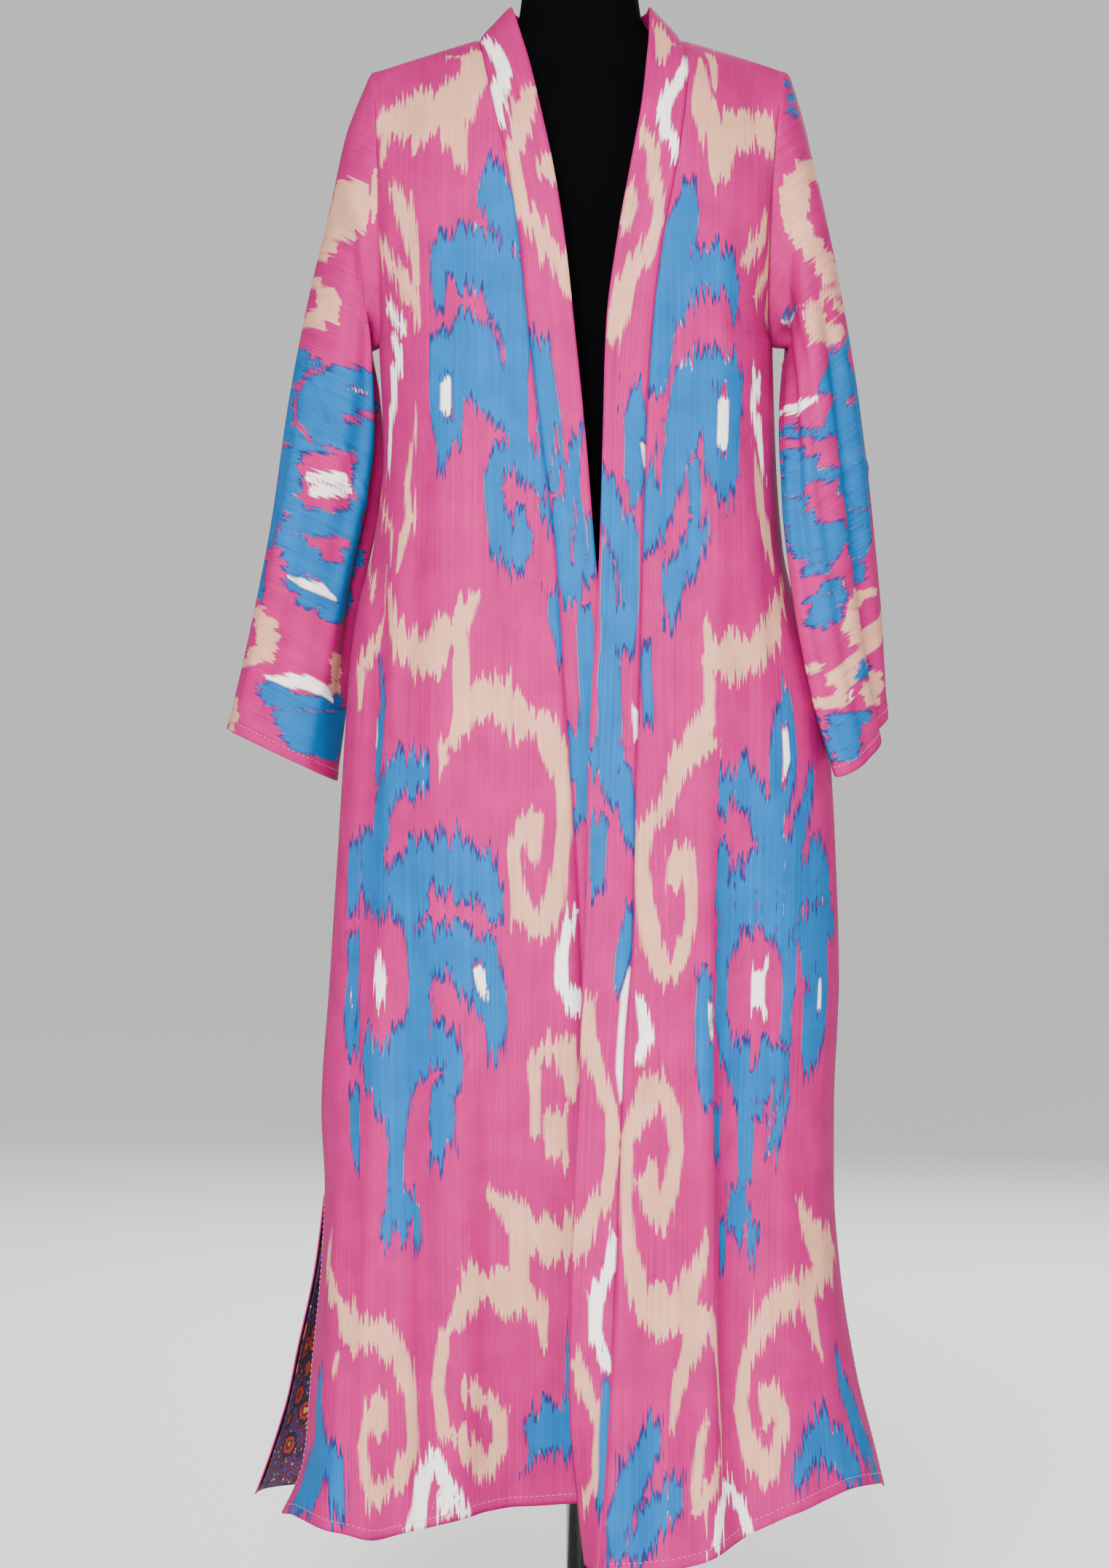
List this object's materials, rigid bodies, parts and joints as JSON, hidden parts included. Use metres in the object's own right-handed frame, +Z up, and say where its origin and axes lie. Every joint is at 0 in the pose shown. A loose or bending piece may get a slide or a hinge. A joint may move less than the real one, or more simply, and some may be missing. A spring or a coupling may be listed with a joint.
{
  "type": "ikat kaftan on a dress form",
  "caption": "Long open-front ikat kaftan with a straight band, long sleeves and side slits, hanging on a black dress form with a round floor stand",
  "frame": {"origin": "middle of the stand's flat underside, on the floor", "axes": "+Z up, the garment faces -Y, the wearer's right sleeve is on the -X side and the left sleeve on the +X side"},
  "size_m": [0.5948, 0.3912, 1.559],
  "materials": {
    "ikat_cloth": "glossy silk and cotton ikat, pink ground with blue, beige and white shapes",
    "lining_print": "matt printed cotton, dark red ground",
    "form_cloth": "matt black jersey stretched over the form",
    "pole_steel": "brushed steel tube",
    "base_paint": "satin black painted plate"
  },
  "bodies": {
    "root": {"front_right": "ikat_cloth", "front_left": "ikat_cloth", "back": "ikat_cloth", "sleeve_right": "ikat_cloth", "sleeve_left": "ikat_cloth", "band_right": "ikat_cloth", "band_left": "ikat_cloth", "back_lining": "lining_print", "form_body": "form_cloth", "form_pole": "pole_steel", "form_base": "base_paint"}
  },
  "joints": []
}
